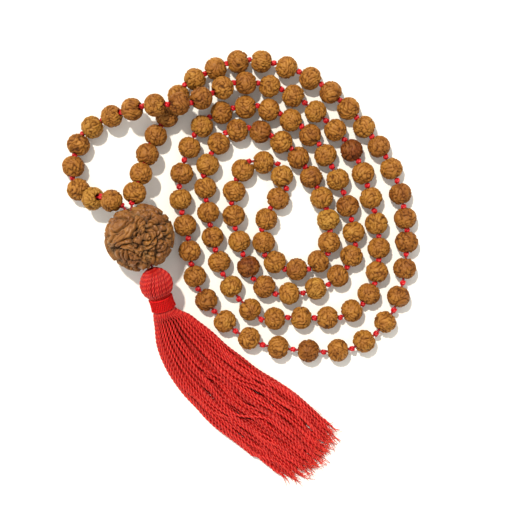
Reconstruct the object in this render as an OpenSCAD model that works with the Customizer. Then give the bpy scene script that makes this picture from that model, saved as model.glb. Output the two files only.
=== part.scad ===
/* [Beads] */
// Diameter of a strand bead across the cord
bead_d = 7.5; // [7:0.1:7.5]
// Length of a strand bead along the cord
bead_l = 6.7; // [6.1:0.1:6.7]
// Diameter of the hole through a strand bead
bead_bore_d = 1.6; // [1.4:0.1:1.8]
// Diameter of the dimple at each end of the hole
dimple_d = 2.8; // [2.6:0.1:3.2]
// Depth of the dimple, measured from the end of the bead
dimple_depth = 0.8; // [0.6:0.1:1]

/* [Cord] */
// Diameter of the cord that carries all the beads
cord_d = 1; // [0.8:0.1:1.2]
// Diameter of the knot tied between two beads
knot_d = 2.2; // [1.8:0.1:2.2]
// Diameter of the knot that ties both cord ends inside the tassel head
end_knot_d = 4.4; // [4:0.1:4.6]

/* [Guru bead] */
// Diameter of the large guru bead
guru_d = 23.2; // [22.4:0.2:23.2]
// Length of the guru bead along its hole
guru_l = 21.2; // [20.4:0.2:21.2]
// Diameter of the hole through the guru bead
guru_bore_d = 3.2; // [2.6:0.1:3.6]
// Diameter of the hollow at each end of the hole
guru_hollow_d = 8; // [8:0.5:9]
// Depth of the hollow at each end of the hole
guru_hollow_depth = 1.6; // [1.6:0.1:2]

/* [Tassel] */
// Diameter of the round head of the tassel
head_d = 11.2; // [10.6:0.1:11.4]
// Diameter of the strands where they leave the head
neck_d = 6.6; // [6:0.1:7]
// Outer diameter of the binding around the neck
binding_d = 8.4; // [8.2:0.1:8.6]
// Length of the binding along the neck
binding_l = 4.2; // [3.8:0.1:4.3]
// Diameter of the skirt where it hangs from the binding
skirt_top_d = 7.4; // [7:0.1:7.4]
// How far the tassel can swing sideways, in degrees
swing_range = 60; // [30:5:60]

/* [Hidden] */
$fn = 48;
bead_count = 108;
single_beads = [for (n = [2:2:100]) n];
grouped_beads = [for (n = [1:bead_count]) if (n % 2 == 1 || n > 100) n];

// Height of a knot or bead that lies on the table, and of the guru bead's hole
low = bead_d / 2;
guru_z = guru_d / 2;

// Lay of the strand: knot number, then x, y and z of the knot. Bead n hangs between knots
// n - 1 and n, and the knots between two rows lie on the smooth curve through the rows.
// Knots 96 to 102 cross over knots 4 to 7, and both ends rise to the hole of the guru bead.
lay = [
    [0, -35.1, 20.8, 11.6], [3, -29.4, 40.3, 4.8], [4, -26, 46.7, low], [5, -22.1, 53.1, low],
    [6, -18.1, 60.3, low], [9, 3.4, 68.8, low], [12, 27.5, 60.5, low], [16, 49, 36.5, low],
    [18, 54.9, 19.8, low], [20, 55.8, 4, low], [22, 51.7, -14.8, low], [24, 37.7, -27.6, low],
    [27, 7.9, -26.4, low], [28, -1.2, -21.8, low], [30, -13.6, -7.6, low], [32, -17, 9.3, low],
    [34, -20, 26.5, low], [36, -14.9, 43.7, low], [37, -9.8, 49.6, low], [39, 6.2, 53.4, low],
    [42, 26.6, 40.7, low], [46, 38.9, 7.1, low], [48, 29.8, -6.1, low], [50, 12.1, -9.4, low],
    [51, 4.8, -4.3, low], [54, -2.4, 21, low], [56, 3.3, 35, low], [57, 13, 34.1, low],
    [58, 15.7, 25.9, low], [59, 10.5, 19.2, low], [60, 7.7, 12.2, low], [61, 8.7, 3.7, low],
    [62, 15.2, -1, low], [63, 23.2, -1.1, low], [64, 29.7, 4.2, low], [66, 29, 19.2, low],
    [69, 17.4, 39.1, low], [71, 3.3, 46.1, low], [72, -4.4, 44.4, low], [73, -9.2, 37.4, low],
    [74, -11.7, 30.1, low], [78, -5.3, -2.6, low], [80, 7.4, -17.9, low], [81, 16.3, -17.1, low],
    [83, 33.8, -17.1, low], [84, 41.4, -12.7, low], [85, 45.3, -5.8, low], [87, 46.6, 10, low],
    [90, 39.8, 35, low], [92, 29.1, 48.5, low], [94, 14.2, 59, low], [96, -1.7, 60.9, 5.5],
    [97, -9, 57.2, 8], [98, -15.8, 53.5, 10.6], [99, -23.3, 53.1, 11.8], [100, -31.7, 52.6, 10.5],
    [102, -45.7, 48.6, low], [103, -52.3, 44, low], [105, -55.7, 29.4, low],
    [106, -51.4, 21.7, 4.5], [107, -45, 22.9, 11.9], [108, -38.4, 20, 11.6]
];

// Guru bead: the middle, and the direction of its hole towards the strand
guru_mid = [-32.6, 9.3, guru_z];
guru_turn = 110;
guru_dir = [cos(guru_turn), sin(guru_turn), 0];
guru_side = [sin(guru_turn), -cos(guru_turn), 0];
guru_mouth = guru_mid + guru_dir * (guru_l / 2 - guru_hollow_depth);

// Tassel: the head just clears the guru bead's end, and the neck slopes down to the table
head_gap = 0.05;
head_mid = guru_mid - guru_dir * (guru_l / 2 + head_d / 2 + head_gap);
head_cavity_d = end_knot_d + 0.4;
head_slot_h = cord_d + 0.8;
slot_margin = 32;
neck_turn = -74;
neck_slope = 20;
neck_dir = [cos(neck_turn) * cos(neck_slope), sin(neck_turn) * cos(neck_slope), -sin(neck_slope)];
binding_start = 4.6;
skirt_hinge = 9.8;
skirt_mid = head_mid + neck_dir * skirt_hinge;
seat_gap = 0.25;

// Skirt sections: x and y of the middle, width, thickness, and direction of the strands
skirt = [
    [-24.1, -16, 6.6, 5.6, -70], [-22.5, -17.8, 12, 6.4, -68], [-20.3, -22.4, 16.5, 7.8, -61],
    [-16.8, -27.8, 20, 7.6, -52], [-12, -33.8, 22, 7.2, -47], [-6.8, -38.8, 23.5, 6.8, -43],
    [-1, -44, 24.5, 6.2, -38], [6.7, -49.3, 25.5, 5.6, -35], [15, -55.5, 26, 4.8, -37],
    [23.5, -62.5, 24, 3.8, -38]
];
skirt_rise = [4.6, 4, 1.6, 0.6, 0.1, 0, 0, 0, 0, 0];
section_sides = 24;

// Two strands of the cord lie side by side in the guru bead's hole
cord_side = 0.6;
cord_sides = 8;

// Index of the last row of the lay that is not past knot n
function row_of(n) = max([for (k = [0:len(lay) - 2]) if (lay[k][0] <= n) k]);
function row_point(k) = [lay[k][1], lay[k][2], lay[k][3]];

// Slope of the curve at a row, per knot, from the rows on both sides of it
function row_slope(k) =
    let (before = max(k - 1, 0), after = min(k + 1, len(lay) - 1))
    (row_point(after) - row_point(before)) / (lay[after][0] - lay[before][0]);

// A point n knots along the lay, by a cubic curve between two rows
function curve_point(n) =
    let (k = row_of(n), span = lay[k + 1][0] - lay[k][0], t = (n - lay[k][0]) / span)
    row_point(k) * (2 * pow(t, 3) - 3 * pow(t, 2) + 1)
    + row_slope(k) * span * (pow(t, 3) - 2 * pow(t, 2) + t)
    + row_point(k + 1) * (3 * pow(t, 2) - 2 * pow(t, 3))
    + row_slope(k + 1) * span * (pow(t, 3) - pow(t, 2));

// Knot n is the same point, no lower than a bead that lies on the table lets it be
function knot_point(n) =
    let (p = curve_point(n))
    [p[0], p[1], max(p[2], low)];

function unit(v) = v / norm(v);

// The cord runs straight through a bead, from one knot to the next
function bead_dir(n) = unit(knot_point(n) - knot_point(n - 1));
function bead_mid(n) = (knot_point(n) + knot_point(n - 1)) / 2;

// Points of the cord: from the end knot, through the guru bead, along every knot and back
cord_end = head_mid + guru_dir * (end_knot_d / 2 - 0.6);
cord_points = concat(
    [cord_end + guru_side * cord_side, guru_mouth + guru_side * cord_side],
    [for (n = [0:bead_count]) knot_point(n)],
    [guru_mouth - guru_side * cord_side, cord_end - guru_side * cord_side]
);

// Turns a shape made along Z so that it lies along v, and puts it at p
module along(p, v) {
    translate(p)
        rotate([0, acos(v[2] / norm(v)), atan2(v[1], v[0])])
            children();
}

// A closed tube of triangles around a line of points
module tube(points, d, sides) {
    last = len(points) - 1;
    function heading(i) = unit(points[min(i + 1, last)] - points[max(i - 1, 0)]);
    function across(i) = unit(cross(heading(i), [0, 0, 1]));
    rings = [
        for (i = [0:last], s = [0:sides - 1])
            points[i] + d / 2 * (cos(360 * s / sides) * across(i)
                                 + sin(360 * s / sides) * cross(across(i), heading(i)))
    ];
    walls = [
        for (i = [0:last - 1], s = [0:sides - 1])
            let (a = i * sides + s, b = i * sides + (s + 1) % sides)
            each [[a, b, b + sides], [a, b + sides, a + sides]]
    ];
    caps = [[for (s = [0:sides - 1]) sides - 1 - s], [for (s = [0:sides - 1]) last * sides + s]];
    polyhedron(rings, concat(walls, caps));
}

// Outline of half a round bead: length along Y, with dimpled ends and a hole
module bead_outline(d, l, bore, hollow_d, hollow_depth, steps) {
    rim = acos(hollow_d / d);
    arc = [
        for (i = [0:steps])
            let (a = -rim + 2 * rim * i / steps)
            [d / 2 * cos(a), l / 2 * sin(a) / sin(rim)]
    ];
    floor_y = l / 2 - hollow_depth;
    polygon(concat([[bore / 2, -floor_y]], arc, [[bore / 2, floor_y]]));
}

module strand_bead(n) {
    color("peru")
        along(bead_mid(n), bead_dir(n))
            rotate_extrude()
                bead_outline(bead_d, bead_l, bead_bore_d, dimple_d, dimple_depth, 12);
}

module strand_beads() {
    for (n = grouped_beads)
        strand_bead(n);
}

module cord() {
    color("crimson")
        tube(cord_points, cord_d, cord_sides);
}

module knots() {
    color("firebrick")
        for (n = [0:bead_count])
            translate(knot_point(n))
                sphere(d = knot_d);
}

module end_knot() {
    color("firebrick")
        translate(head_mid)
            sphere(d = end_knot_d);
}

module guru_bead() {
    color("sienna")
        along(guru_mid, guru_dir)
            rotate_extrude()
                bead_outline(guru_d, guru_l, guru_bore_d, guru_hollow_d, guru_hollow_depth, 24);
}

// Ball of folded strands around the end knot, with the neck that the binding grips. The slot
// lets the cord in while the tassel swings about the end knot.
module tassel_head() {
    slot_start = guru_turn - slot_margin;
    slot_turn = swing_range + 2 * slot_margin;
    color("red")
        difference() {
            union() {
                translate(head_mid)
                    sphere(d = head_d);
                along(head_mid, neck_dir)
                    cylinder(d = neck_d, h = skirt_hinge);
            }
            translate(head_mid)
                sphere(d = head_cavity_d);
            translate(head_mid)
                rotate([0, 0, slot_start])
                    rotate_extrude(angle = slot_turn)
                        translate([0, -head_slot_h / 2])
                            square([head_d, head_slot_h]);
            translate(skirt_mid)
                sphere(d = skirt_top_d + 2 * seat_gap);
        }
}

module tassel_binding() {
    color("firebrick")
        difference() {
            along(head_mid + neck_dir * binding_start, neck_dir)
                cylinder(d = binding_d, h = binding_l);
            along(head_mid, neck_dir)
                cylinder(d = neck_d, h = skirt_hinge);
            translate(head_mid)
                sphere(d = head_d);
            translate(skirt_mid)
                sphere(d = skirt_top_d + 2 * seat_gap);
        }
}

// Skirt of loose strands: a round top in the binding, and a flat spread end on the table
module tassel_skirt() {
    last = len(skirt) - 1;
    rings = [
        for (i = [0:last], s = [0:section_sides - 1])
            let (k = skirt[i], a = 360 * s / section_sides)
            [k[0] + k[2] / 2 * cos(a) * sin(-k[4]), k[1] + k[2] / 2 * cos(a) * cos(k[4]),
             skirt_rise[i] + k[3] / 2 * (1 + sin(a))]
    ];
    walls = [
        for (i = [0:last - 1], s = [0:section_sides - 1])
            let (a = i * section_sides + s, b = i * section_sides + (s + 1) % section_sides)
            each [[a, b + section_sides, b], [a, a + section_sides, b + section_sides]]
    ];
    caps = [
        [for (s = [0:section_sides - 1]) s],
        [for (s = [0:section_sides - 1]) (last + 1) * section_sides - 1 - s]
    ];
    color("red") {
        translate(skirt_mid)
            sphere(d = skirt_top_d);
        polyhedron(rings, concat(walls, caps));
    }
}

cord();
knots();
end_knot();
guru_bead();
tassel_head();
tassel_binding();
tassel_skirt();
strand_beads();
for (n = single_beads)
    strand_bead(n);
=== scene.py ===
import math

import bmesh
import bpy
import numpy as np
from mathutils import Matrix, Vector


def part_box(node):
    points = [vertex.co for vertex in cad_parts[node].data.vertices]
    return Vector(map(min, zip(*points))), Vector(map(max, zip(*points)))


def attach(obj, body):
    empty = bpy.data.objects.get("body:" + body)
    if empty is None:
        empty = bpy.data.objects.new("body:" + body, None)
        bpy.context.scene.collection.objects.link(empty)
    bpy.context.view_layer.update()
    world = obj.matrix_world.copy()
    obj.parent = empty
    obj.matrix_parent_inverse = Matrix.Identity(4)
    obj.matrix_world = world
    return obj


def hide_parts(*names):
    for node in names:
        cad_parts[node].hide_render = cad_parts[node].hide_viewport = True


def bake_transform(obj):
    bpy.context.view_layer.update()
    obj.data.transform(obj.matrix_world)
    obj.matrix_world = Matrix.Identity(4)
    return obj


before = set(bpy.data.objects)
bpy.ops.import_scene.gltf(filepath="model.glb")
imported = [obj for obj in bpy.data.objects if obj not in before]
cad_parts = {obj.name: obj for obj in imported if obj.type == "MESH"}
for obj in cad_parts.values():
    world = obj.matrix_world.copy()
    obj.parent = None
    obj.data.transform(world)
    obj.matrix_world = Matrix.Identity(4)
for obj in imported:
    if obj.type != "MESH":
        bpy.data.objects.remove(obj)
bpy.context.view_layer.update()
scene = bpy.context.scene
mm = 0.001


def hexColour(text):
    channels = [int(text[i:i + 2], 16) / 255 for i in (1, 3, 5)]
    linear = [c / 12.92 if c <= 0.04045 else ((c + 0.055) / 1.055) ** 2.4 for c in channels]
    return (*linear, 1.0)


def addNode(tree, kind, settings=None, values=None, links=None):
    node = tree.nodes.new(kind)
    for name, value in (settings or {}).items():
        setattr(node, name, value)
    for name, value in (values or {}).items():
        node.inputs[name].default_value = value
    for name, socket in (links or {}).items():
        tree.links.new(socket, node.inputs[name])
    return node


def setRamp(node, stops):
    ramp = node.color_ramp
    while len(ramp.elements) < len(stops):
        ramp.elements.new(0.5)
    for element, (place, colour) in zip(ramp.elements, stops):
        element.position = place
        element.color = hexColour(colour)
    return node


def rampOf(tree, socket, stops):
    ramp = addNode(tree, "ShaderNodeValToRGB", links={"Fac": socket})
    return setRamp(ramp, stops).outputs["Color"]


def multiplied(tree, first, second):
    # The Mix node's sockets share their names, so they go by number: 0 share, 6 and 7 colours
    settings = {"data_type": "RGBA", "blend_type": "MULTIPLY"}
    return addNode(tree, "ShaderNodeMix", settings, {0: 1.0}, {6: first, 7: second}).outputs[2]


def unit(v):
    return v / np.linalg.norm(v)


def smoothStep(t):
    t = np.clip(t, 0, 1)
    return t * t * (3 - 2 * t)


def hermite(t, start, end, startSlope, endSlope):
    # Slopes are per whole span, and t runs from 0 to 1 along it
    return (start * (2 * t ** 3 - 3 * t ** 2 + 1) + startSlope * (t ** 3 - 2 * t ** 2 + t)
            + end * (3 * t ** 2 - 2 * t ** 3) + endSlope * (t ** 3 - t ** 2))


def addPiece(name, mesh, material):
    mesh.name = name
    mesh.materials.clear()
    mesh.materials.append(material)
    mesh.shade_smooth()
    piece = bpy.data.objects.new(name, mesh)
    scene.collection.objects.link(piece)
    return piece


def addAttribute(mesh, name, values):
    kind, field = ("FLOAT", "value") if values.ndim == 1 else ("FLOAT_VECTOR", "vector")
    layer = mesh.attributes.new(name, kind, "POINT")
    layer.data.foreach_set(field, values.astype(np.float32).ravel())


view = {
    "middle": (0.00533, 0.00367),  # point of the table under the lens
    "height": 0.45,
    "lens": 94.4,
    "sensor": 36,
    "nearest": 0.01,
}

lights = {
    "sunFrom": (-0.235, 0.409, 0.883),  # high sun from the upper left
    "sunStrength": 3.3,
    "sunAngle": 3,  # degrees, for a shadow edge that is nearly crisp
    "sunColour": "#FFF6E8",
    "skyColour": "#FCFBF6",
    "skyStrength": 0.9,
}

tableLook = {
    "colour": "#F4F3EF",
    "reach": 1.5,  # from its middle to an edge
    "drop": 0.00005,  # just under the ground that the frame stands on
}

camera = bpy.data.objects.new("camera", bpy.data.cameras.new("camera"))
camera.data.sensor_width = view["sensor"]
camera.data.lens = view["lens"]
camera.data.clip_start = view["nearest"]
camera.location = (*view["middle"], view["height"])
scene.collection.objects.link(camera)
scene.camera = camera

sun = bpy.data.objects.new("sun", bpy.data.lights.new("sun", "SUN"))
sun.data.energy = lights["sunStrength"]
sun.data.angle = math.radians(lights["sunAngle"])
sun.data.color = hexColour(lights["sunColour"])[:3]
sun.rotation_euler = Vector(lights["sunFrom"]).to_track_quat("Z", "Y").to_euler()
scene.collection.objects.link(sun)

world = bpy.data.worlds.new("sky")
world.use_nodes = True
sky = world.node_tree.nodes["Background"]
sky.inputs["Color"].default_value = hexColour(lights["skyColour"])
sky.inputs["Strength"].default_value = lights["skyStrength"]
scene.world = world
scene.view_settings.view_transform = "Standard"

# Matt white card: no gloss, so the table stays plain
tableCard = bpy.data.materials.new("matt white card")
tableCard.use_nodes = True
tableShader = tableCard.node_tree.nodes["Principled BSDF"]
tableShader.inputs["Base Color"].default_value = hexColour(tableLook["colour"])
tableShader.inputs["Roughness"].default_value = 0.9
tableShader.inputs["Specular IOR Level"].default_value = 0.1

bm = bmesh.new()
bmesh.ops.create_grid(bm, x_segments=1, y_segments=1, size=tableLook["reach"])
bmesh.ops.translate(bm, vec=(0, 0, -tableLook["drop"]), verts=bm.verts)
tableMesh = bpy.data.meshes.new("table")
bm.to_mesh(tableMesh)
bm.free()
tableMesh.materials.append(tableCard)
table = bpy.data.objects.new("table", tableMesh)
scene.collection.objects.link(table)
table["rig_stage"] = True
print("camera, light and table done")


# Knot number, then x, y and z of the knot, in metres: the route of the frame's own cord
low = 0.00375  # half a bead: height of a knot whose beads lie on the table
lay = np.array([
    (0, -.0351, .0208, .0116), (3, -.0294, .0403, .0048), (4, -.026, .0467, low),
    (5, -.0221, .0531, low), (6, -.0181, .0603, low), (9, .0034, .0688, low),
    (12, .0275, .0605, low), (16, .049, .0365, low), (18, .0549, .0198, low),
    (20, .0558, .004, low), (22, .0517, -.0148, low), (24, .0377, -.0276, low),
    (27, .0079, -.0264, low), (28, -.0012, -.0218, low), (30, -.0136, -.0076, low),
    (32, -.017, .0093, low), (34, -.02, .0265, low), (36, -.0149, .0437, low),
    (37, -.0098, .0496, low), (39, .0062, .0534, low), (42, .0266, .0407, low),
    (46, .0389, .0071, low), (48, .0298, -.0061, low), (50, .0121, -.0094, low),
    (51, .0048, -.0043, low), (54, -.0024, .021, low), (56, .0033, .035, low),
    (57, .013, .0341, low), (58, .0157, .0259, low), (59, .0105, .0192, low),
    (60, .0077, .0122, low), (61, .0087, .0037, low), (62, .0152, -.001, low),
    (63, .0232, -.0011, low), (64, .0297, .0042, low), (66, .029, .0192, low),
    (69, .0174, .0391, low), (71, .0033, .0461, low), (72, -.0044, .0444, low),
    (73, -.0092, .0374, low), (74, -.0117, .0301, low), (78, -.0053, -.0026, low),
    (80, .0074, -.0179, low), (81, .0163, -.0171, low), (83, .0338, -.0171, low),
    (84, .0414, -.0127, low), (85, .0453, -.0058, low), (87, .0466, .01, low),
    (90, .0398, .035, low), (92, .0291, .0485, low), (94, .0142, .059, low),
    (96, -.0017, .0609, .0055), (97, -.009, .0572, .008), (98, -.0158, .0535, .0106),
    (99, -.0233, .0531, .0118), (100, -.0317, .0526, .0105), (102, -.0457, .0486, low),
    (103, -.0523, .044, low), (105, -.0557, .0294, low), (106, -.0514, .0217, .0045),
    (107, -.045, .0229, .0119), (108, -.0384, .02, .0116),
])

strand = {
    "beads": 108,
    "guruTurn": math.radians(110),  # way the guru bead's hole points, towards the strand
    "guruReach": 0.009,  # from the guru bead's middle to the floor of its hollow
    "cordSide": 0.0006,  # the two ends of the cord lie side by side
    "neckTurn": math.radians(-74),
    "neckSlope": math.radians(20),
    "skirtHinge": 0.0098,
}
anyRoll = 6.28  # radians, about a full turn, for random rolls


def boxMiddle(node):
    lowest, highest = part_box(node)
    return (np.array(lowest) + np.array(highest)) / 2


guruMiddle = boxMiddle("guru_bead")
headMiddle = boxMiddle("end_knot")
guruWay = np.array([math.cos(strand["guruTurn"]), math.sin(strand["guruTurn"]), 0])
guruSide = np.array([math.sin(strand["guruTurn"]), -math.cos(strand["guruTurn"]), 0])
guruMouth = guruMiddle + guruWay * strand["guruReach"]
neckWay = np.array([
    math.cos(strand["neckTurn"]) * math.cos(strand["neckSlope"]),
    math.sin(strand["neckTurn"]) * math.cos(strand["neckSlope"]),
    -math.sin(strand["neckSlope"]),
])
skirtMiddle = headMiddle + neckWay * strand["skirtHinge"]


def knotPoint(n):
    k = int(np.clip(np.searchsorted(lay[:, 0], n, side="right") - 1, 0, len(lay) - 2))
    span = lay[k + 1, 0] - lay[k, 0]
    t = (n - lay[k, 0]) / span
    slopes = []
    for row in (k, k + 1):
        before, after = max(row - 1, 0), min(row + 1, len(lay) - 1)
        rise = lay[after, 1:] - lay[before, 1:]
        slopes.append(rise / (lay[after, 0] - lay[before, 0]) * span)
    point = hermite(t, lay[k, 1:], lay[k + 1, 1:], *slopes)
    point[2] = max(point[2], low)
    return point


knotPoints = np.array([knotPoint(n) for n in range(strand["beads"] + 1)])
beadWays = [unit(b - a) for a, b in zip(knotPoints, knotPoints[1:])]
beadMiddles = [(a + b) / 2 for a, b in zip(knotPoints, knotPoints[1:])]


# Reach of each side of a thread's section: the low ones are the grooves between its plies
sections = {
    "twoPly": (1.0, 0.86, 0.56, 0.86, 1.0, 0.86, 0.56, 0.86),
    "threePly": (1.0, 0.8, 0.8, 1.0, 0.8, 0.8, 1.0, 0.8, 0.8),
    "round": (1.0, 1.0, 1.0, 1.0, 1.0, 1.0),
    "hair": (1.0, 1.0, 1.0, 1.0),
}


def evenLine(points, step):
    # Points a step apart along a line, for rings that are evenly spaced
    points = np.asarray(points, float)
    along = np.r_[0, np.cumsum(np.linalg.norm(np.diff(points, axis=0), axis=1))]
    count = max(int(round(along[-1] / step)), 2)
    places = np.linspace(0, along[-1], count + 1)
    return np.stack([np.interp(places, along, points[:, i]) for i in range(3)], axis=1)


def threadMesh(name, lines, radii, section, pitch, tones=None, closed=False):
    # Every ring of the mesh has its middle on a point of its line
    shape = sections[section]
    sides = len(shape)
    outline = bpy.data.curves.new(name + " section", "CURVE")
    spline = outline.splines.new("POLY")
    spline.points.add(sides - 1)
    spline.use_cyclic_u = True
    for i, reach in enumerate(shape):
        angle = -2 * math.pi * i / sides
        spline.points[i].co = (reach * math.cos(angle), reach * math.sin(angle), 0, 1)
    outlineObject = bpy.data.objects.new(outline.name, outline)
    curve = bpy.data.curves.new(name + " lines", "CURVE")
    curve.dimensions = "3D"
    curve.bevel_mode = "OBJECT"
    curve.bevel_object = outlineObject
    relief, fibre, tone = [], [], []
    angles = 2 * math.pi * np.arange(sides) / sides
    ring = np.stack([np.cos(angles), np.sin(angles)], axis=1)
    lowest = min(shape)
    height = (np.array(shape) - lowest) / (1 - lowest) if lowest < 1 else np.ones(sides)
    apart = 3  # radii between the noise of one line and the next
    for index, (line, radius) in enumerate(zip(lines, radii)):
        line = np.asarray(line, float)
        along = np.r_[0, np.cumsum(np.linalg.norm(np.diff(line, axis=0), axis=1))]
        spline = curve.splines.new("POLY")
        spline.points.add(len(line) - 1)
        spline.use_cyclic_u = closed
        ones = np.ones(len(line))
        spline.points.foreach_set("co", np.c_[line, ones].astype(np.float32).ravel())
        spline.points.foreach_set("radius", (ones * radius).astype(np.float32))
        if pitch:
            spline.points.foreach_set("tilt", (2 * math.pi * along / pitch).astype(np.float32))
        relief.append(np.tile(height, len(line)))
        fibre.append(np.c_[np.tile(ring, (len(line), 1)) + apart * index,
                           np.repeat(along / mm, sides)])
        tone.append(np.full(len(line) * sides, 0.5 if tones is None else tones[index]))
    lineObject = bpy.data.objects.new(curve.name, curve)
    scene.collection.objects.link(outlineObject)
    scene.collection.objects.link(lineObject)
    made = lineObject.evaluated_get(bpy.context.evaluated_depsgraph_get())
    mesh = bpy.data.meshes.new_from_object(made)
    for item in (lineObject, outlineObject):
        bpy.data.objects.remove(item)
    for item in (curve, outline):
        bpy.data.curves.remove(item)
    addAttribute(mesh, "relief", np.concatenate(relief))
    addAttribute(mesh, "fibre", np.concatenate(fibre))
    addAttribute(mesh, "tone", np.concatenate(tone))
    bm = bmesh.new()
    bm.from_mesh(mesh)
    openEdges = [e for e in bm.edges if e.is_boundary]
    if openEdges:
        bmesh.ops.holes_fill(bm, edges=openEdges, sides=0)  # closes the cut ends
    bmesh.ops.recalc_face_normals(bm, faces=bm.faces)
    bm.to_mesh(mesh)
    bm.free()
    return mesh


# fibresAcross counts streaks per radius of the thread, and fibresAlong counts them per mm of
# its length: a streak is 0.13 to 0.17 mm wide and 0.8 to 1.3 mm long
def threadMaterial(name, look):
    material = bpy.data.materials.new(name)
    material.use_nodes = True
    tree = material.node_tree
    shader = tree.nodes["Principled BSDF"]
    relief = addNode(tree, "ShaderNodeAttribute", {"attribute_name": "relief"})
    tone = addNode(tree, "ShaderNodeAttribute", {"attribute_name": "tone"})
    fibre = addNode(tree, "ShaderNodeAttribute", {"attribute_name": "fibre"})
    # Fibres run along the ply, so the noise is drawn out that way
    scale = (look["fibresAcross"], look["fibresAcross"], look["fibresAlong"])
    stretch = addNode(tree, "ShaderNodeMapping", values={"Scale": scale},
                      links={"Vector": fibre.outputs["Vector"]})
    streaks = addNode(tree, "ShaderNodeTexNoise",
                      values={"Scale": 1.0, "Detail": 3.0, "Roughness": 0.6},
                      links={"Vector": stretch.outputs["Vector"]})
    # Ramp on relief: painted shade, a darker red, in the grooves between the plies; for the rayon
    # its top stop is a painted highlight along each ply
    groove = rampOf(tree, relief.outputs["Fac"], look["paintedShadeGrooveToTop"])
    streaked = multiplied(tree, groove, rampOf(tree, streaks.outputs["Fac"], look["streaks"]))
    toned = multiplied(tree, streaked, rampOf(tree, tone.outputs["Fac"], look["tones"]))
    tree.links.new(toned, shader.inputs["Base Color"])
    bump = addNode(tree, "ShaderNodeBump",
                   values={"Strength": 0.6, "Distance": look["fibreDepth"]},
                   links={"Height": streaks.outputs["Fac"]})
    tree.links.new(bump.outputs["Normal"], shader.inputs["Normal"])
    shader.inputs["Roughness"].default_value = look["roughness"]
    shader.inputs["Sheen Weight"].default_value = look["sheen"]
    shader.inputs["Sheen Roughness"].default_value = 0.4
    shader.inputs["Sheen Tint"].default_value = hexColour(look["sheenColour"])
    shader.inputs["IOR"].default_value = 1.5
    shader.inputs["Specular IOR Level"].default_value = look["gloss"]
    return material


# Twisted nylon cord: smooth hard plies, a clear gloss on each one; the darker red at the groove
# end of the ramp is painted shade between the plies
nylonCord = threadMaterial("twisted nylon cord", {
    "fibresAcross": 3.0, "fibresAlong": 1.2,
    "paintedShadeGrooveToTop": ((0.0, "#8E0512"), (1.0, "#D8121F")),
    "streaks": ((0.3, "#C9C4C4"), (0.7, "#FFFFFF")),
    "tones": ((0.0, "#D0C8C8"), (1.0, "#FFFFFF")),
    "fibreDepth": 0.00002, "gloss": 0.35, "roughness": 0.34,
    "sheen": 0.1, "sheenColour": "#FF8070",
})

# Twisted rayon thread: silky, with a painted highlight on top of each ply and painted shade, deep
# red, in the grooves between them
rayonThread = threadMaterial("twisted rayon thread", {
    "fibresAcross": 3.5, "fibresAlong": 0.8,
    "paintedShadeGrooveToTop": ((0.0, "#A8080E"), (0.7, "#BE0A10"), (1.0, "#EE4838")),
    "streaks": ((0.3, "#D8D0D0"), (0.7, "#FFFFFF")),
    "tones": ((0.0, "#D2CACA"), (1.0, "#FFFFFF")),
    "fibreDepth": 0.00003, "gloss": 0.25, "roughness": 0.45,
    "sheen": 0.08, "sheenColour": "#FF7A68",
})

# Rayon thread wound tight: flatter and a little smoother than the loose strands; its colours are
# painted lighter than theirs to make up for the shade it lies in at the neck, with a little
# painted shade in the grooves
woundThreadPaintedLighter = threadMaterial("wound rayon thread", {
    "fibresAcross": 3.5, "fibresAlong": 0.8,
    "paintedShadeGrooveToTop": ((0.0, "#F01018"), (1.0, "#FF2A26")),
    "streaks": ((0.3, "#ECE8E8"), (0.7, "#FFFFFF")),
    "tones": ((0.0, "#F4F0F0"), (1.0, "#FFFFFF")),
    "fibreDepth": 0.00002, "gloss": 0.12, "roughness": 0.5,
    "sheen": 0.08, "sheenColour": "#FF7A68",
})


cordLook = {
    "diameter": 0.001,
    "pitch": 0.0026,  # one full turn of the three plies
    "ringStep": 0.0006,
    "endReach": 0.0016,  # from the end knot's middle, where both ends of the cord start
}

cordEnd = headMiddle + guruWay * cordLook["endReach"]
side = guruSide * strand["cordSide"]
cordRoute = np.vstack([
    cordEnd + side, guruMouth + side, knotPoints, guruMouth - side, cordEnd - side])
cordLine = evenLine(cordRoute, cordLook["ringStep"])
cordMesh = threadMesh("strand_cord", [cordLine], [cordLook["diameter"] / 2], "threePly",
                      cordLook["pitch"])
cord = addPiece("strand_cord", cordMesh, nylonCord)
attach(cord, "root")
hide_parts("cord")


knotLook = {
    "thread": 0.00042,  # radius of the cord where it is pulled tight
    "size": 0.000222,
    "sizes": (0.9, 1.05),  # least and most, as a share of size
    "lift": 2.4,
    "points": 22,
}

endKnotLook = {"thread": 0.0008, "size": 0.00046, "roll": 0.4}


def knotLine(middle, way, size, roll):
    # Overhand knot: a closed line that passes over and under itself three times
    t = np.linspace(0, 2 * math.pi, knotLook["points"], endpoint=False)
    line = np.stack([np.sin(t) + 2 * np.sin(2 * t), np.cos(t) - 2 * np.cos(2 * t),
                     -knotLook["lift"] * np.sin(3 * t)], axis=1)
    turn = Vector(way).to_track_quat("Z", "Y").to_matrix() @ Matrix.Rotation(roll, 3, "Z")
    return line * size @ np.array(turn).T + middle


rolls = np.random.default_rng(31)
lastKnot = len(knotPoints) - 1
knotWays = [unit(knotPoints[min(i + 1, lastKnot)] - knotPoints[max(i - 1, 0)])
            for i in range(len(knotPoints))]
knotLines = [knotLine(p, w, knotLook["size"] * rolls.uniform(*knotLook["sizes"]),
                      rolls.uniform(0, anyRoll))
             for p, w in zip(knotPoints, knotWays)]
knotMesh = threadMesh("strand_knots", knotLines, [knotLook["thread"]] * len(knotLines), "round",
                      0, tones=rolls.uniform(0.4, 1, len(knotLines)), closed=True)
knots = addPiece("strand_knots", knotMesh, nylonCord)
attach(knots, "root")
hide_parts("knots")

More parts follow.
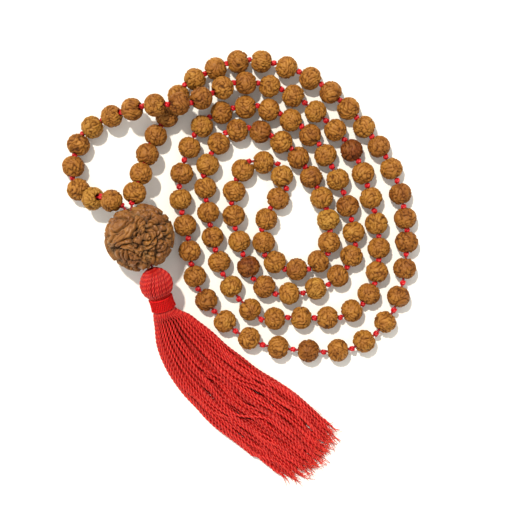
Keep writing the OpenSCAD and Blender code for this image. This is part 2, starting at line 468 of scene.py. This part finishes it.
endKnotLine = knotLine(headMiddle, guruWay, endKnotLook["size"], endKnotLook["roll"])
endKnotMesh = threadMesh("end_knot_lump", [endKnotLine], [endKnotLook["thread"]], "round", 0,
                         closed=True)
endKnot = addPiece("end_knot_lump", endKnotMesh, nylonCord)
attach(endKnot, "root")
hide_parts("end_knot")
print("knots done")


beadLook = {
    "width": 0.0075,
    "length": 0.0067,
    "bore": 0.0016,
    "dimple": 0.0028,
    "dimpleDepth": 0.0008,
    "rows": 34,
    "steps": 88,
    "ridgeWave": 0.0019,  # crevices lie about half a wave apart
    "roundness": 0.8,  # lower is broader ridges with narrower crevices
    "fineDepth": 0.5,  # share of a ridge that the small creases take
    "warpWave": 0.0045,
    "warp": 0.0005,
    "depth": 0.00062,
    "grooves": 5,  # seams from pole to pole
    "grooveWidth": 0.0003,
    "grooveDepth": 0.35,
    "lump": 0.00007,
    "crown": 0.0001,  # tops of the ridges stand this much proud
    "pits": 0,  # the small seeds have no open pits
}

guruLook = {
    "width": 0.0232,
    "length": 0.0212,
    "bore": 0.0032,
    "dimple": 0.008,
    "dimpleDepth": 0.0016,
    "rows": 120,
    "steps": 220,
    "ridgeWave": 0.0047,
    "roundness": 0.75,
    "fineDepth": 0.6,
    "warpWave": 0.011,
    "warp": 0.0016,
    "depth": 0.0019,
    "grooves": 5,
    "grooveWidth": 0.0011,
    "grooveDepth": 0.5,
    "lump": 0.0008,
    "crown": 0.0001,
    "pits": 0.0024,
}

skinShape = {
    "plainRim": 1.05,  # carving starts this many hole radii out
    "fullRidge": 1.05,  # field value at which a ridge has its full height
    "fineWave": 0.55,  # small creases, as a share of the ridges' wave
    "fullFine": 0.5,
    "seamWander": 0.16,  # radians
    "seamWave": 1.5,
    "lumpWave": 1.6,
    "lumpShift": 0.6,  # mostly hollows, so that no lump stands out of the seed's own size
    "pitEdge": 0.52,
    "pitStretch": 0.9,
    "pitSlope": 0.4,
    "slowWaves": 10,  # plane waves in each slow field
}


def spunMesh(name, outline, steps, placing=None):
    bm = bmesh.new()
    verts = [bm.verts.new((r, 0, z)) for r, z in outline]
    edges = [bm.edges.new(pair) for pair in zip(verts, verts[1:] + verts[:1])]
    bmesh.ops.spin(bm, geom=verts + edges, cent=(0, 0, 0), axis=(0, 0, 1), angle=2 * math.pi,
                   steps=steps, use_merge=True)
    bmesh.ops.recalc_face_normals(bm, faces=bm.faces)
    if placing is not None:
        bmesh.ops.transform(bm, matrix=placing, verts=bm.verts)
    mesh = bpy.data.meshes.new(name)
    bm.to_mesh(mesh)
    bm.free()
    return mesh


def spunBead(name, look):
    # Half outline from one end of the hole over the outside to the other, spun round the hole
    rim = math.acos(look["dimple"] / look["width"])
    outline = [(look["width"] / 2 * math.cos(a), look["length"] / 2 * math.sin(a) / math.sin(rim))
               for a in np.linspace(-rim, rim, look["rows"] + 1)]
    hole = (look["bore"] / 2, look["length"] / 2 - look["dimpleDepth"])
    rimPoint = outline[-1]
    slope = [(rimPoint[0] + (hole[0] - rimPoint[0]) * t,
              rimPoint[1] + (hole[1] - rimPoint[1]) * t) for t in (0.33, 0.67, 1.0)]
    outline = [(r, -z) for r, z in reversed(slope)] + outline + slope
    return spunMesh(name, outline, look["steps"])


def waveField(points, wave, dice, count=20):
    # Smooth random field of unit spread: plane waves of nearly one length in all directions
    ways = dice.normal(size=(count, 3))
    ways /= np.linalg.norm(ways, axis=1)[:, None]
    ways *= 2 * math.pi / (wave * dice.uniform(0.85, 1.2, count))[:, None]
    waves = np.cos(points @ ways.T + dice.uniform(0, 2 * math.pi, count))
    return waves.sum(1) * math.sqrt(2 / count)


def carve(points, look, dice):
    # Rudraksha skin: rounded worm-like ridges with narrow crevices between them
    shape, slow = skinShape, skinShape["slowWaves"]
    half, halfLength = look["width"] / 2, look["length"] / 2
    reach = np.hypot(points[:, 0], points[:, 1])
    out = points / np.array([half ** 2, half ** 2, halfLength ** 2])
    out /= np.linalg.norm(out, axis=1)[:, None]
    skin = smoothStep((reach - look["bore"] / 2 * shape["plainRim"])
                      / (look["dimple"] / 2 - look["bore"] / 2))
    sway = [waveField(points, look["warpWave"], dice, slow) for _ in range(3)]
    bent = points + look["warp"] * np.stack(sway, axis=1)
    main = np.abs(waveField(bent, look["ridgeWave"], dice))
    fine = np.abs(waveField(bent, look["ridgeWave"] * shape["fineWave"], dice))
    ridge = np.sin(np.clip(main / shape["fullRidge"], 0, 1) * math.pi / 2) ** look["roundness"]
    crease = 1 - np.sin(np.clip(fine / shape["fullFine"], 0, 1) * math.pi / 2)
    ridge *= 1 - look["fineDepth"] * crease
    angle = np.arctan2(points[:, 1], points[:, 0]) + dice.uniform(0, anyRoll)
    angle += shape["seamWander"] * waveField(
        points, look["warpWave"] * shape["seamWave"], dice, slow)
    gap = np.abs(np.sin(look["grooves"] / 2 * angle)) * 2 / look["grooves"] * reach
    groove = 1 - smoothStep(gap / look["grooveWidth"])
    relief = ridge * (1 - look["grooveDepth"] * groove)
    height = look["crown"] - look["depth"] * (1 - relief)
    lumps = waveField(points, look["warpWave"] * shape["lumpWave"], dice, slow)
    height += look["lump"] * (lumps - shape["lumpShift"]) * 0.5
    if look["pits"]:
        pit = smoothStep((shape["pitEdge"] - np.hypot(main * shape["pitStretch"], fine))
                         / shape["pitSlope"])
        height -= look["pits"] * pit
        relief = relief * (1 - pit)
    moved = points + out * (np.minimum(height, look["crown"]) * skin)[:, None]
    # The relief drops to nothing in the pits and, through skin, towards the hole, where the seed
    # ramps turn it into painted shade
    return moved, relief * skin, waveField(points, look["warpWave"], dice, slow)


seedVariety = {
    "tone": 0.5,
    "toneSpread": 0.12,
    "tones": (0.2, 0.8),
    "patches": 0.06,  # how far the tone wanders over one seed
    "sizes": (1.0, 1.03),  # makes up for the carving, which cuts inwards
    "firstDice": 1000,
    "groups": 3,
}


def beadPiece(name, look, beads, material):
    # beads: for each one its middle, way, tone, size and the number that starts its dice
    single = spunBead(name, look)
    bm = bmesh.new()
    for _ in beads:
        bm.from_mesh(single)
    mesh = bpy.data.meshes.new(name)
    bm.to_mesh(mesh)
    bm.free()
    plain = np.zeros(len(single.vertices) * 3, np.float32)
    single.vertices.foreach_get("co", plain)
    plain = plain.reshape(-1, 3).astype(float)
    bpy.data.meshes.remove(single)
    places, reliefs, tones = [], [], []
    for middle, way, tone, size, seed in beads:
        dice = np.random.default_rng(seed)
        moved, relief, patch = carve(plain, look, dice)
        roll = Matrix.Rotation(dice.uniform(0, anyRoll), 3, "Z")
        turn = Vector(way).to_track_quat("Z", "Y").to_matrix() @ roll
        places.append(moved * size @ np.array(turn).T + middle)
        reliefs.append(relief)
        tones.append(np.clip(tone + seedVariety["patches"] * patch, 0, 1))
    mesh.vertices.foreach_set("co", np.concatenate(places).astype(np.float32).ravel())
    mesh.update()
    addAttribute(mesh, "relief", np.concatenate(reliefs))
    addAttribute(mesh, "tone", np.concatenate(tones))
    return addPiece(name, mesh, material)


# blotchSize and grainSize are the real size of one blotch and one grain on the skin
def seedMaterial(name, look):
    material = bpy.data.materials.new(name)
    material.use_nodes = True
    tree = material.node_tree
    shader = tree.nodes["Principled BSDF"]
    place = addNode(tree, "ShaderNodeTexCoord")
    relief = addNode(tree, "ShaderNodeAttribute", {"attribute_name": "relief"})
    tone = addNode(tree, "ShaderNodeAttribute", {"attribute_name": "tone"})
    # Ramp on relief: from painted shade at the bottom of the crevices, in the pits and in the
    # hole, up to the seed's own colour on the ridges
    skin = rampOf(tree, relief.outputs["Fac"], look["paintedShadeCreviceToRidge"])
    tint = rampOf(tree, tone.outputs["Fac"], look["tints"])
    blotch = addNode(tree, "ShaderNodeTexNoise",
                     values={"Scale": 1 / look["blotchSize"], "Detail": 4.0, "Roughness": 0.6},
                     links={"Vector": place.outputs["Object"]})
    blotchShade = rampOf(tree, blotch.outputs["Fac"], look["blotches"])
    grain = addNode(tree, "ShaderNodeTexNoise",
                    values={"Scale": 1 / look["grainSize"], "Detail": 3.0, "Roughness": 0.6},
                    links={"Vector": place.outputs["Object"]})
    blotched = multiplied(tree, multiplied(tree, skin, tint), blotchShade)
    tree.links.new(blotched, shader.inputs["Base Color"])
    gloss = addNode(tree, "ShaderNodeMapRange",
                    values={"From Min": 0.2, "From Max": 0.9, "To Min": look["creviceRoughness"],
                            "To Max": look["ridgeRoughness"]},
                    links={"Value": relief.outputs["Fac"]})
    tree.links.new(gloss.outputs["Result"], shader.inputs["Roughness"])
    bump = addNode(tree, "ShaderNodeBump",
                   values={"Strength": 0.5, "Distance": look["grainDepth"]},
                   links={"Height": grain.outputs["Fac"]})
    tree.links.new(bump.outputs["Normal"], shader.inputs["Normal"])
    shader.inputs["IOR"].default_value = 1.5
    shader.inputs["Specular IOR Level"].default_value = look["gloss"]
    return material


# Rudraksha seed, dried and rubbed by hand: woody, golden on the ridges, with painted shade, dark
# brown, in the crevices and down into the hole;
# blotches of 2.2 mm over a grain of 0.3 mm
rudrakshaSeed = seedMaterial("rubbed rudraksha seed", {
    "paintedShadeCreviceToRidge": (
        (0.05, "#442808"), (0.3, "#7C5218"), (0.62, "#A2742C"), (1.0, "#B68840")),
    "tints": ((0.0, "#B08068"), (0.5, "#F0DCC4"), (1.0, "#FFFFE8")),
    "blotchSize": 0.0022, "blotches": ((0.3, "#D8CCC0"), (0.7, "#FFFFFF")),
    "grainSize": 0.0003, "grainDepth": 0.00004, "gloss": 0.22,
    "creviceRoughness": 0.8, "ridgeRoughness": 0.52,
})

# Old rudraksha seed, oiled: orange brown and glossy on the ridges, with grey dust part way down
# the valleys; the near black at the bottom of the ramp is painted shade in the deep crevices, the
# pits and the hole;
# blotches of 4 mm over a grain of 0.5 mm
oiledSeed = seedMaterial("oiled rudraksha seed", {
    "paintedShadeCreviceToRidge": (
        (0.03, "#120703"), (0.2, "#50341A"), (0.42, "#80663E"), (0.7, "#8C6228"),
        (1.0, "#9E7434")),
    "tints": ((0.0, "#C8906C"), (0.5, "#F2DCC8"), (1.0, "#FFFFF0")),
    "blotchSize": 0.004, "blotches": ((0.3, "#C8B8A8"), (0.7, "#FFFFFF")),
    "grainSize": 0.0005, "grainDepth": 0.00006, "gloss": 0.4,
    "creviceRoughness": 0.75, "ridgeRoughness": 0.42,
})

# Tone by bead number, for the few that stand out from the rest
oddTones = {21: 0.3, 52: 0.08, 66: 1.0, 91: 0.02, 107: 0.95}
singleBeads = list(range(2, 101, 2))
groupedBeads = [n for n in range(1, strand["beads"] + 1) if n not in singleBeads]
toneDice = np.random.default_rng(7)
beadTones = toneDice.normal(seedVariety["tone"], seedVariety["toneSpread"], strand["beads"] + 1)
beadTones = np.clip(beadTones, *seedVariety["tones"])
beadSizes = toneDice.uniform(*seedVariety["sizes"], strand["beads"] + 1)


def beadEntry(n):
    return (beadMiddles[n - 1], beadWays[n - 1], oddTones.get(n, beadTones[n]), beadSizes[n],
            seedVariety["firstDice"] + n)


for n in singleBeads:
    bead = beadPiece("rudraksha_%d" % n, beadLook, [beadEntry(n)], rudrakshaSeed)
    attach(bead, "bead_%d" % n)
    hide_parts("bead_%d" % n)

for part in range(seedVariety["groups"]):
    members = groupedBeads[part::seedVariety["groups"]]
    beads = beadPiece("rudraksha_group_%d" % (part + 1), beadLook,
                      [beadEntry(n) for n in members], rudrakshaSeed)
    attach(beads, "root")
    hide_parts("strand_beads")
print("beads done")

guruEntry = (guruMiddle, guruWay, 0.5, 1.0, 5)
guru = beadPiece("rudraksha_guru", guruLook, [guruEntry], oiledSeed)
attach(guru, "guru")
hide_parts("guru_bead")
print("guru bead done")


tasselLook = {
    "headRadius": 0.0056,
    "crown": 0.001,
    "thread": 0.00045,  # radius of one strand
    "pitch": 0.003,  # one full turn of the two plies
    "ringStep": 0.00035,
    "headStrands": 38,
    "neckRadius": 0.0031,
    "bindingStart": 0.0046,
    "bindingLength": 0.0042,
    "bindingRadius": 0.0042,
    "windings": 15,
    "windingThread": 0.00025,
    "windingPitch": 0.0016,
    "windingPoints": 40,  # for each winding
    "shellSteps": 40,
    "coreGap": 0.0001,  # between the core and the strands' middles
    "coreHollow": 0.0026,  # leaves room for the end knot
    "coreNeck": 0.0029,
    "coreEnd": 0.0085,
    "coreMouth": 0.0006,
    "strandTail": 0.0012,  # each folded strand runs on this far inside the neck
    "thinnest": 0.00012,
    "overlap": 1.12,  # strands are this much wider than their share of the round
    "unevenness": 0.012,
    "sway": 0.35,
    "slant": 0.2,
}

neckTurn = np.array(Vector(neckWay).to_track_quat("Z", "Y").to_matrix())


def neckFrame(points):
    # From a frame with Z down the neck to the object's frame
    return np.asarray(points) @ neckTurn.T + headMiddle


def spunShell(name, outline):
    placing = Matrix.Translation(headMiddle) @ Matrix(neckTurn.tolist()).to_4x4()
    mesh = spunMesh(name, outline, tasselLook["shellSteps"], placing)
    count = len(mesh.vertices)
    # Relief 0.2 and tone 0.3 give the shells the darker groove end of their ramps: painted shade
    # where they show between the strands and windings
    addAttribute(mesh, "relief", np.full(count, 0.2))
    addAttribute(mesh, "tone", np.full(count, 0.3))
    addAttribute(mesh, "fibre", np.zeros((count, 3)))
    return mesh


headThread = tasselLook["thread"]


def crowned(height):
    # The folded strands swell into the guru bead's hollow, on the side away from the neck
    rise = np.clip(-np.asarray(height) / tasselLook["headRadius"], 0, 1)
    return height - tasselLook["crown"] * rise ** 4


ballRadius = tasselLook["headRadius"] - headThread
coreRadius = ballRadius - tasselLook["coreGap"]
hollow = tasselLook["coreHollow"]
outer = [(coreRadius * math.sin(a), float(crowned(-coreRadius * math.cos(a))))
         for a in np.linspace(0.12, 2.55, 26)]
inner = [(hollow * math.sin(a), -hollow * math.cos(a)) for a in np.linspace(0.25, 2.9, 16)]
neckCore = [(tasselLook["coreNeck"], tasselLook["bindingStart"]),
            (tasselLook["coreNeck"], tasselLook["coreEnd"]),
            (tasselLook["coreMouth"], tasselLook["coreEnd"])]
headCoreMesh = spunShell("tassel_head_core", outer + neckCore + inner[::-1])
headCore = addPiece("tassel_head_core", headCoreMesh, rayonThread)
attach(headCore, "tassel")
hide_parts("tassel_head")

headLines, headRadii = [], []
headDice = np.random.default_rng(12)
for i in range(tasselLook["headStrands"]):
    start = 2 * math.pi * i / tasselLook["headStrands"] + headDice.normal(0, 0.02)
    sweep = np.linspace(0.16, 2.6, 70)
    reach = ballRadius * np.sin(sweep)
    height = crowned(-ballRadius * np.cos(sweep))
    reach = np.where(height > 0, np.maximum(reach, tasselLook["neckRadius"]), reach)
    reach = reach * (1 + tasselLook["unevenness"] * headDice.normal())
    turned = start + tasselLook["sway"] * np.sin(sweep) + tasselLook["slant"] * sweep
    line = np.stack([reach * np.cos(turned), reach * np.sin(turned), height], axis=1)
    end = line[-1] + np.array([0, 0, tasselLook["strandTail"]])
    line = evenLine(neckFrame(np.vstack([line, end])), tasselLook["ringStep"])
    local = (line - headMiddle) @ neckTurn
    around = np.hypot(local[:, 0], local[:, 1])
    headLines.append(line)
    width = around * math.pi / tasselLook["headStrands"] * tasselLook["overlap"]
    headRadii.append(np.clip(width, tasselLook["thinnest"], headThread))
headMesh = threadMesh("tassel_head_strands", headLines, headRadii, "twoPly", tasselLook["pitch"],
                      tones=headDice.uniform(0.3, 1, len(headLines)))
head = addPiece("tassel_head_strands", headMesh, rayonThread)
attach(head, "tassel")
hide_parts("tassel_head")

# The windings lie a little unevenly, and their reach follows the waist of the neck
turns = np.linspace(0, 2 * math.pi * tasselLook["windings"],
                    tasselLook["windings"] * tasselLook["windingPoints"])
share = turns / turns[-1]
waist = 0.0004 * np.sin(math.pi * (0.25 + 0.6 * share))
bindReach = tasselLook["bindingRadius"] - waist + 0.00004 * np.sin(turns * 0.37)
bindPlace = (tasselLook["bindingStart"] + 0.0001 + (tasselLook["bindingLength"] - 0.0002) * share
             + 0.00005 * np.sin(turns * 0.61))
bindLine = np.stack([bindReach * np.cos(turns), bindReach * np.sin(turns), bindPlace], axis=1)
bindMesh = threadMesh("tassel_winding", [neckFrame(bindLine)], [tasselLook["windingThread"]],
                      "twoPly", tasselLook["windingPitch"])
binding = addPiece("tassel_winding", bindMesh, woundThreadPaintedLighter)
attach(binding, "tassel")
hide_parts("tassel_binding")

# A plain shell behind the windings, so that nothing shows between them
bandTop = tasselLook["bindingStart"] + 0.0001
bandEnd = tasselLook["bindingStart"] + tasselLook["bindingLength"] - 0.0001
bandMesh = spunShell("tassel_winding_core", [
    (0.0032, bandTop), (0.0037, bandTop), (0.0037, (bandTop + bandEnd) / 2), (0.0038, bandEnd),
    (0.0034, bandEnd)])
band = addPiece("tassel_winding_core", bandMesh, woundThreadPaintedLighter)
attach(band, "tassel")
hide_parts("tassel_binding")
print("tassel head and binding done")


# Middle x and y, width, thickness, height of the underside, and way of the strands in degrees
skirtRows = np.array([
    (-.0225, -.0178, .012, .0064, .004, -68),
    (-.0203, -.0224, .0165, .0078, .0016, -61), (-.0168, -.0278, .02, .0076, .0006, -52),
    (-.012, -.0338, .022, .0072, .0001, -47), (-.0068, -.0388, .0235, .0068, 0, -43),
    (-.001, -.044, .0245, .0062, 0, -38), (.0067, -.0493, .0255, .0056, 0, -35),
    (.015, -.0555, .026, .0048, 0, -37), (.0235, -.0625, .024, .0038, 0, -38),
    (.0275, -.0657, .0235, .0032, 0, -38),
])

skirtLook = {
    "rings": 6,  # strands lie in rings about the middle one: 1 + 6 + 12 and so on
    "roundRows": ((0.0006, 0.0042), (-0.0022, 0.003)),  # place past the hinge, and radius
    "thickest": 0.0005,
    "packing": 0.6,  # strands are thinner where the skirt is narrow
    "bulge": 0.0022,  # the middle strands reach this much further than those at the sides
    "ragged": 0.0032,
    "wander": 0.11,
    "wanderTurns": (1.1, 2.3, 4.1),
    "wanderUp": 1.2,
    "outer": 0.6,  # strands past this share of the section show, and get finer rings
    "tail": 0.55,
    "frayedPlies": 3,
    "frayLength": 0.0032,
    "plyPoints": 7,
    "plyRadii": (0.00019, 0.00006),
    "plySpread": 0.00012,
    "plyLowest": 0.00018,
    "hairs": 26,
    "hairPoints": 8,
    "hairRadius": 0.00005,
}

rowMiddles = np.c_[skirtRows[:, 0], skirtRows[:, 1], skirtRows[:, 4] + skirtRows[:, 3] / 2]
rowTurns = np.radians(skirtRows[:, 5])
rowSides = np.stack([-np.sin(rowTurns), np.cos(rowTurns), np.zeros(len(rowTurns))], axis=1)
rowUps = np.tile([0.0, 0.0, 1.0], (len(skirtRows), 1))
halfWidths, halfHeights = skirtRows[:, 2] / 2, skirtRows[:, 3] / 2

# Two round rows come first, inside the binding, square to the neck
neckSide = unit(np.cross([0, 0, 1], neckWay))
neckUp = np.cross(neckWay, neckSide)
for reach, radius in skirtLook["roundRows"]:
    rowMiddles = np.vstack([skirtMiddle + neckWay * reach, rowMiddles])
    rowSides = np.vstack([neckSide, rowSides])
    rowUps = np.vstack([neckUp, rowUps])
    halfWidths, halfHeights = np.r_[radius, halfWidths], np.r_[radius, halfHeights]
rowPlaces = np.r_[0, np.cumsum(np.linalg.norm(np.diff(rowMiddles, axis=0), axis=1))]


def alongRows(values, places):
    # Smooth curve through the rows' values
    values = np.asarray(values, float).reshape(len(rowPlaces), -1)
    k = np.clip(np.searchsorted(rowPlaces, places, side="right") - 1, 0, len(rowPlaces) - 2)
    slopes = np.gradient(values, rowPlaces, axis=0)
    span = (rowPlaces[k + 1] - rowPlaces[k])[:, None]
    t = (places - rowPlaces[k])[:, None] / span
    return hermite(t, values[k], values[k + 1], slopes[k] * span, slopes[k + 1] * span)


skirtDice = np.random.default_rng(44)
strandSeats = [(0.0, 0.0)]
for ring in range(1, skirtLook["rings"] + 1):
    for i in range(6 * ring):
        angle = 2 * math.pi * (i + 0.5 * (ring % 2)) / (6 * ring)
        strandSeats.append((ring / skirtLook["rings"] * math.cos(angle),
                            ring / skirtLook["rings"] * math.sin(angle)))
strandCount = len(strandSeats)
lastPlace = rowPlaces[-2]  # the last row only carries the strands that reach past the end


def strandLine(seat, length, step, dice):
    places = np.linspace(0, length, max(int(length / step), 4))
    share = places / lastPlace
    grow = smoothStep(share * 1.4)
    u = np.full(len(places), seat[0])
    v = np.full(len(places), seat[1])
    for turns in skirtLook["wanderTurns"]:
        wave = 2 * math.pi * turns * share
        u = u + (skirtLook["wander"] / turns * dice.normal() * grow
                 * np.sin(wave + dice.uniform(0, anyRoll)))
        v = v + (skirtLook["wander"] * skirtLook["wanderUp"] / turns * dice.normal() * grow
                 * np.sin(wave + dice.uniform(0, anyRoll)))
    size = np.hypot(u, v)
    shrink = np.where(size > 1, 1 / np.maximum(size, 1), 1)
    width = alongRows(halfWidths, places)[:, 0]
    height = alongRows(halfHeights, places)[:, 0]
    room = np.sqrt(math.pi * width * height / strandCount)
    radius = np.minimum(skirtLook["thickest"], skirtLook["packing"] * room)
    line = (alongRows(rowMiddles, places)
            + (u * shrink * np.maximum(width - radius, 0))[:, None] * alongRows(rowSides, places)
            + (v * shrink * np.maximum(height - radius, 0))[:, None] * alongRows(rowUps, places))
    line[:, 2] = np.maximum(line[:, 2], radius)
    return line, radius


strandLines, strandRadii, strandTones, strandPart = [], [], [], []
frayLines, frayRadii, frayTones = [], [], []
for index, seat in enumerate(strandSeats):
    length = (lastPlace + skirtLook["bulge"] * (1 - seat[0] ** 2)
              + skirtDice.uniform(-1, 0.7) * skirtLook["ragged"])
    ringStep = tasselLook["ringStep"] * (1 if math.hypot(*seat) > skirtLook["outer"] else 2)
    line, radius = strandLine(seat, length, ringStep, skirtDice)
    radius = radius.copy()
    tail = np.linspace(1, skirtLook["tail"], min(6, len(radius)))
    radius[-len(tail):] *= tail
    tone = skirtDice.uniform(0.15, 1)
    strandLines.append(line)
    strandRadii.append(radius)
    strandTones.append(tone)
    strandPart.append(index % 2)
    way = unit(line[-1] - line[-4])
    for _ in range(skirtLook["frayedPlies"]):
        lean = skirtDice.normal(0, 0.35, 3) * np.array([1, 1, 0.5])
        reach = skirtLook["frayLength"] * skirtDice.uniform(0.4, 1.1)
        t = np.linspace(0, 1, skirtLook["plyPoints"])[:, None]
        ply = (line[-3] + way * reach * t + lean * reach * t ** 2
               + skirtDice.normal(0, skirtLook["plySpread"], 3) * np.sqrt(t))
        ply[:, 2] = np.maximum(ply[:, 2], skirtLook["plyLowest"])
        frayLines.append(ply)
        frayRadii.append(np.linspace(*skirtLook["plyRadii"], skirtLook["plyPoints"]))
        frayTones.append(tone)

for part in range(2):
    chosen = [i for i in range(strandCount) if strandPart[i] == part]
    strandMesh = threadMesh("tassel_strands", [strandLines[i] for i in chosen],
                            [strandRadii[i] for i in chosen], "twoPly", tasselLook["pitch"],
                            tones=[strandTones[i] for i in chosen])
    piece = addPiece("tassel_strands_%d" % (part + 1), strandMesh, rayonThread)
    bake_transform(piece)
    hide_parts("tassel_skirt")

for _ in range(skirtLook["hairs"]):
    # Loose fibres that stand away from the sides
    seat = skirtDice.choice([-1, 1]) * skirtDice.uniform(0.9, 1.0)
    place = skirtDice.uniform(0.15, 0.95) * lastPlace
    line, _ = strandLine((seat, 0.3), lastPlace, 0.001, skirtDice)
    k = min(int(place / lastPlace * len(line)), len(line) - 3)
    way = unit(line[k + 1] - line[k])
    out = np.cross(way, [0, 0, 1]) * -np.sign(seat)
    t = np.linspace(0, 1, skirtLook["hairPoints"])[:, None]
    reach = skirtDice.uniform(0.003, 0.007)
    bow = out * reach * skirtDice.uniform(0.1, 0.35) * t ** 1.5 * (1.2 - t)
    frayLines.append(line[k] + way * reach * t + bow)
    frayRadii.append(np.full(skirtLook["hairPoints"], skirtLook["hairRadius"]))
    frayTones.append(0.8)
frayMesh = threadMesh("tassel_frayed_ends", frayLines, frayRadii, "hair", 0, tones=frayTones)
fray = addPiece("tassel_frayed_ends", frayMesh, rayonThread)
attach(fray, "skirt")
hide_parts("tassel_skirt")
print("tassel skirt done")

shown = [o for o in scene.objects
         if o.type == "MESH" and not o.hide_render and not o.get("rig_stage")]
for o in shown:
    o.data.calc_loop_triangles()
print("triangles", sum(len(o.data.loop_triangles) for o in shown),
      "largest", max((len(o.data.loop_triangles), o.name) for o in shown))
